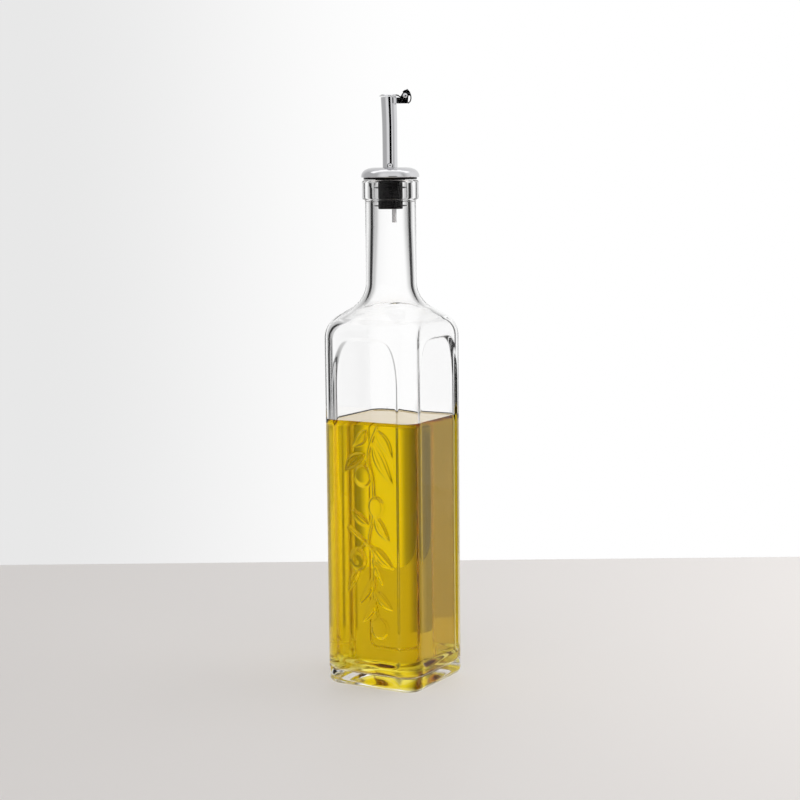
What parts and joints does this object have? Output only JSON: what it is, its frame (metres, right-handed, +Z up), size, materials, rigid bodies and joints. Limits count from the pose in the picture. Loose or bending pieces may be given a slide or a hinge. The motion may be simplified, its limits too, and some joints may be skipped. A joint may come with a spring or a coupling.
{
  "type": "glass oil bottle with pourer",
  "caption": "Square clear glass oil bottle with arched panels on three sides, an olive sprig in relief, a fill of oil, and a steel pourer with a hinged flap.",
  "frame": {"origin": "centre of the base, on the surface the bottle stands on", "axes": "+Z up along the bottle; -Y out of the panel with the olive sprig; the flap's hinge is 30 degrees round from +X towards +Y"},
  "size_m": [0.0572, 0.0572, 0.3165],
  "materials": {
    "clear_glass": "clear moulded soda-lime glass, fire polished",
    "olive_oil": "clear golden-green oil",
    "black_rubber": "smooth black rubber, satin",
    "polished_steel": "polished stainless steel"
  },
  "bodies": {
    "bottle": {"glass_bottle": "clear_glass", "oil": "olive_oil", "stopper": "black_rubber", "steel_cap": "polished_steel", "spout": "polished_steel", "breather_tube": "polished_steel", "hinge_bracket": "polished_steel", "hinge_pin": "polished_steel"},
    "flap_body": {"flap": "polished_steel"}
  },
  "joints": [
    {"name": "flap_hinge", "type": "hinge", "parent": "bottle", "child": "flap_body", "pos_m": [0.00714, 0.00413, 0.31295], "axis": [-0.5, 0.866, 0], "range_deg": [0, 55]}
  ]
}
